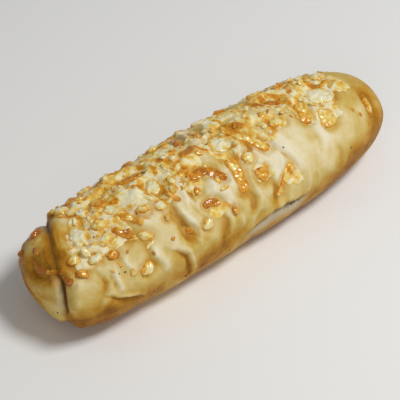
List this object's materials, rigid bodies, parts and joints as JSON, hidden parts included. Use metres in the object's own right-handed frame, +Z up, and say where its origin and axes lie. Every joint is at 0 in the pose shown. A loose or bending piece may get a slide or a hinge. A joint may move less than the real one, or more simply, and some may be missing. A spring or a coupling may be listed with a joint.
{
  "type": "cheese breadstick",
  "caption": "Oblong baked bread stick with a slanting dough seam at one end, melted cheese nuggets and shreds baked on its top, and a flat underside to rest on.",
  "frame": {"origin": "on the flat underside, below the middle of the loaf's length and width", "axes": "+X along the loaf, away from the seamed end; +Z up; -Y is the flank with the torn crust"},
  "size_m": [0.2072, 0.0638, 0.0503],
  "materials": {
    "crust": "egg-washed bread crust, pale on the back, golden brown on the flanks and ends, soft satin sheen",
    "cheese_pale": "melted cheese, pale cream with a golden rim, slightly glossy",
    "cheese_golden": "melted cheese baked orange, glossy with fat",
    "cheese_toasted": "melted cheese toasted brown, glossy with fat"
  },
  "bodies": {
    "root": {"bread_loaf": "crust", "cheese_nugget_01": "cheese_toasted", "cheese_nugget_02": "cheese_toasted", "cheese_nugget_03": "cheese_pale", "cheese_nugget_04": "cheese_golden", "cheese_nugget_05": "cheese_pale", "cheese_nugget_06": "cheese_pale", "cheese_nugget_07": "cheese_toasted", "cheese_nugget_08": "cheese_pale", "cheese_nugget_09": "cheese_golden", "cheese_nugget_10": "cheese_pale", "cheese_nugget_11": "cheese_pale", "cheese_nugget_12": "cheese_pale", "cheese_nugget_13": "cheese_golden", "cheese_nugget_14": "cheese_golden", "cheese_nugget_15": "cheese_golden", "cheese_nugget_16": "cheese_pale", "cheese_nugget_17": "cheese_pale", "cheese_nugget_18": "cheese_pale", "cheese_nugget_19": "cheese_golden", "cheese_nugget_20": "cheese_toasted", "cheese_nugget_21": "cheese_pale", "cheese_nugget_22": "cheese_toasted", "cheese_nugget_23": "cheese_toasted", "cheese_nugget_24": "cheese_pale", "cheese_nugget_25": "cheese_pale", "cheese_nugget_26": "cheese_toasted", "cheese_nugget_27": "cheese_golden", "cheese_nugget_28": "cheese_toasted", "cheese_nugget_29": "cheese_pale", "cheese_nugget_30": "cheese_pale", "cheese_nugget_31": "cheese_golden", "cheese_nugget_32": "cheese_pale", "cheese_nugget_33": "cheese_toasted", "cheese_nugget_34": "cheese_golden", "cheese_shred_01": "cheese_toasted", "cheese_shred_02": "cheese_pale", "cheese_shred_03": "cheese_toasted", "cheese_shred_04": "cheese_golden", "cheese_shred_05": "cheese_toasted", "cheese_shred_06": "cheese_toasted", "cheese_shred_07": "cheese_toasted", "cheese_shred_08": "cheese_golden", "cheese_shred_09": "cheese_golden", "cheese_shred_10": "cheese_toasted", "cheese_shred_11": "cheese_toasted", "cheese_shred_12": "cheese_golden", "cheese_shred_13": "cheese_golden", "cheese_shred_14": "cheese_golden", "cheese_shred_15": "cheese_toasted", "cheese_shred_16": "cheese_golden", "cheese_shred_17": "cheese_toasted", "cheese_shred_18": "cheese_golden", "cheese_shred_19": "cheese_golden", "cheese_shred_20": "cheese_toasted", "cheese_patch_01": "cheese_pale", "cheese_patch_02": "cheese_pale", "cheese_patch_03": "cheese_pale", "cheese_patch_04": "cheese_pale", "cheese_patch_05": "cheese_golden"}
  },
  "joints": []
}
